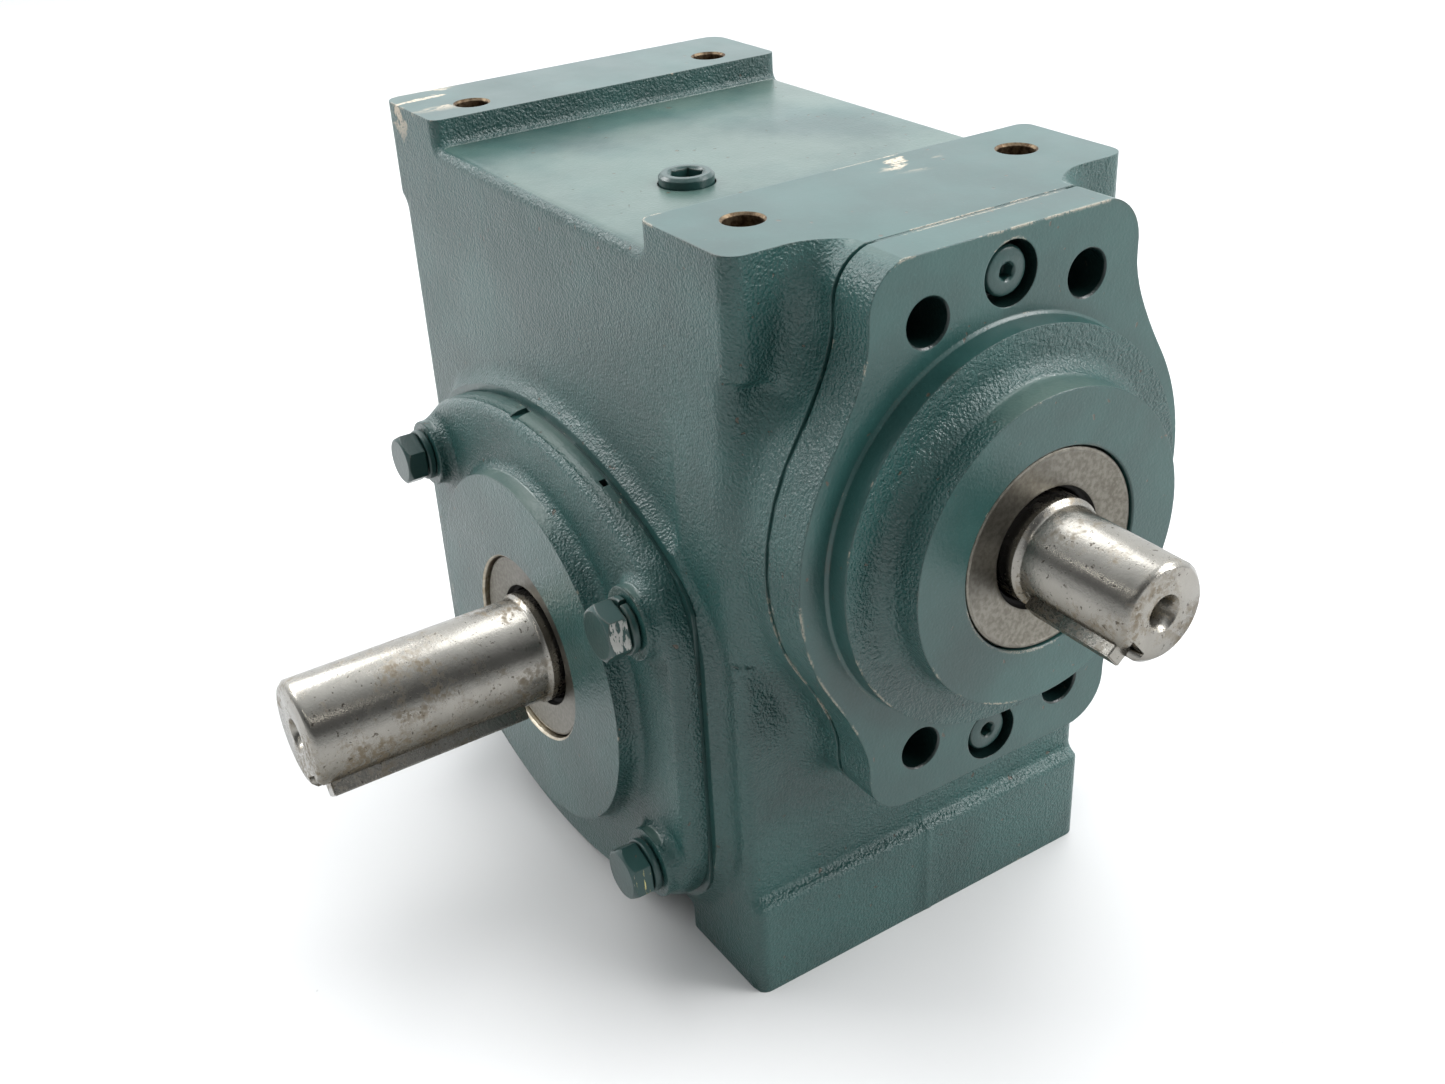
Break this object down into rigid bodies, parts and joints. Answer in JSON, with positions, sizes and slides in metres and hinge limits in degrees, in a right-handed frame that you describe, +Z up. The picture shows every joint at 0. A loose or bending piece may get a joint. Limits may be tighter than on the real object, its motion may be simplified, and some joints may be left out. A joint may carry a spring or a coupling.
{
  "type": "worm gear reducer",
  "caption": "Foot-mounted right-angle worm gear reducer with a flanged input shaft and a keyed output shaft at ninety degrees below it.",
  "frame": {"origin": "centre of the front foot's sole, under the input shaft", "axes": "+X towards the end of the input shaft, -Y towards the end of the output shaft, +Z up"},
  "size_m": [0.2381, 0.2103, 0.195],
  "materials": {
    "green_paint": "semi-gloss enamel over a sand casting",
    "bare_steel": "turned steel with light patina",
    "seal_case": "pressed steel seal case",
    "bronze": "cast and hobbed bronze",
    "grey_iron": "as-cast grey iron",
    "gasket_fibre": "compressed fibre"
  },
  "bodies": {
    "casing": {"housing": "green_paint", "input_flange": "green_paint", "output_cover": "green_paint", "blind_cover": "green_paint", "rear_end_plug": "green_paint", "fill_plug": "green_paint", "level_plug": "green_paint", "drain_plug": "green_paint", "flange_screw_top": "green_paint", "flange_screw_bottom": "green_paint", "output_cover_bolt_1": "green_paint", "output_cover_washer_1": "green_paint", "output_cover_bolt_2": "green_paint", "output_cover_washer_2": "green_paint", "output_cover_bolt_3": "green_paint", "output_cover_washer_3": "green_paint", "output_cover_bolt_4": "green_paint", "output_cover_washer_4": "green_paint", "blind_cover_bolt_1": "green_paint", "blind_cover_washer_1": "green_paint", "blind_cover_bolt_2": "green_paint", "blind_cover_washer_2": "green_paint", "blind_cover_bolt_3": "green_paint", "blind_cover_washer_3": "green_paint", "blind_cover_bolt_4": "green_paint", "blind_cover_washer_4": "green_paint", "input_seal": "seal_case", "output_seal": "seal_case", "input_gasket": "gasket_fibre", "output_gasket": "gasket_fibre", "blind_gasket": "gasket_fibre", "worm_front_cup": "bare_steel", "worm_rear_cup": "bare_steel", "output_side_cup": "bare_steel", "blind_side_cup": "bare_steel"},
    "output": {"output_shaft": "bare_steel", "output_key": "bare_steel", "wheel_hub": "grey_iron", "worm_wheel": "bronze", "wheel_key": "bare_steel", "wheel_spacer": "bare_steel", "output_side_cone": "bare_steel", "blind_side_cone": "bare_steel"},
    "worm": {"worm_shaft": "bare_steel", "input_key": "bare_steel", "worm_front_cone": "bare_steel", "worm_rear_cone": "bare_steel"},
    "worm_rollers": {"worm_front_rollers": "bare_steel", "worm_rear_rollers": "bare_steel"},
    "output_rollers": {"output_side_rollers": "bare_steel", "blind_side_rollers": "bare_steel"}
  },
  "joints": [
    {"name": "output_spin", "type": "hinge", "parent": "casing", "child": "output", "pos_m": [-0.0664, 0, 0.0681], "axis": [0, 1, 0], "continuous": true},
    {"name": "worm_spin", "type": "hinge", "parent": "casing", "child": "worm", "pos_m": [0, 0, 0.1284], "axis": [1, 0, 0], "continuous": true},
    {"name": "worm_rollers_spin", "type": "hinge", "parent": "casing", "child": "worm_rollers", "pos_m": [0, 0, 0.1284], "axis": [1, 0, 0], "continuous": true},
    {"name": "output_rollers_spin", "type": "hinge", "parent": "casing", "child": "output_rollers", "pos_m": [-0.0664, 0, 0.0681], "axis": [0, 1, 0], "continuous": true}
  ],
  "couplings": [
    {"joint": "worm_spin", "follows": "output_spin", "ratio": -30},
    {"joint": "worm_rollers_spin", "follows": "output_spin", "ratio": -12.9},
    {"joint": "output_rollers_spin", "follows": "output_spin", "ratio": 0.43}
  ]
}
